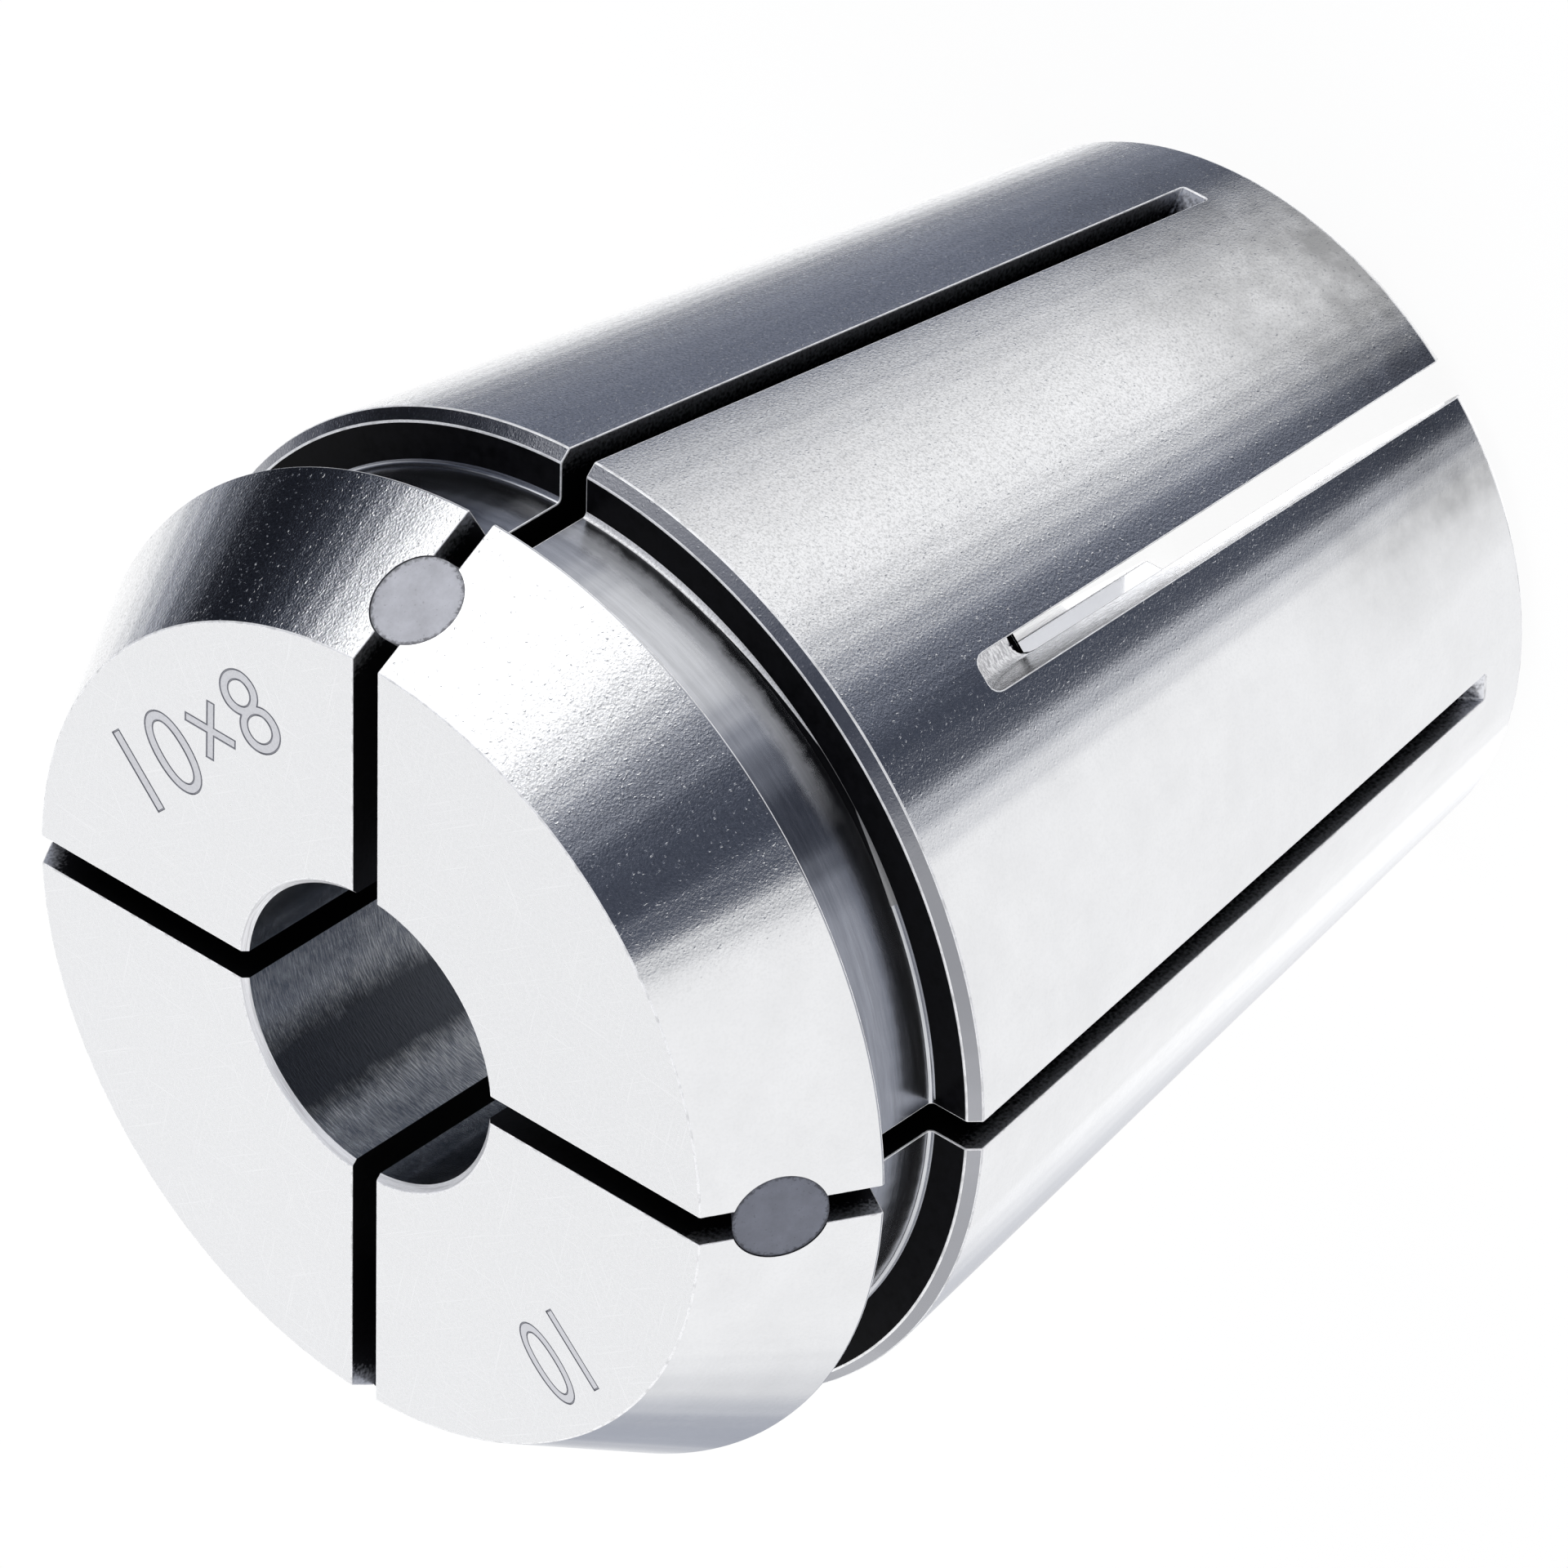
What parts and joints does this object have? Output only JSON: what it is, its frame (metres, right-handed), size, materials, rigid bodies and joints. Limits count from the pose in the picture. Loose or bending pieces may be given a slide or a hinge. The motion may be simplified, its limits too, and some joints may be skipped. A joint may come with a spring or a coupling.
{
  "type": "tapping collet",
  "caption": "Tapping collet: slit steel taper collet with a round shank bore, an internal driving square and sealed front slots.",
  "frame": {"origin": "centre of the rear face, on the collet's axis", "axes": "+Z along the axis towards the nose face; X and Y run through the middles of the front slots and square on to the flats of the driving square"},
  "size_m": [0.033, 0.033, 0.04],
  "materials": {
    "ground_steel": "hardened spring steel, ground bright on the face, cone and taper, turned in the groove, sawn in the slots",
    "sealing_plug": "matte grey sealing compound, trimmed flush with the cone"
  },
  "bodies": {
    "root": {"collet_body": "ground_steel", "slot_plug_1": "sealing_plug", "slot_plug_2": "sealing_plug", "slot_plug_3": "sealing_plug", "slot_plug_4": "sealing_plug"}
  },
  "joints": []
}
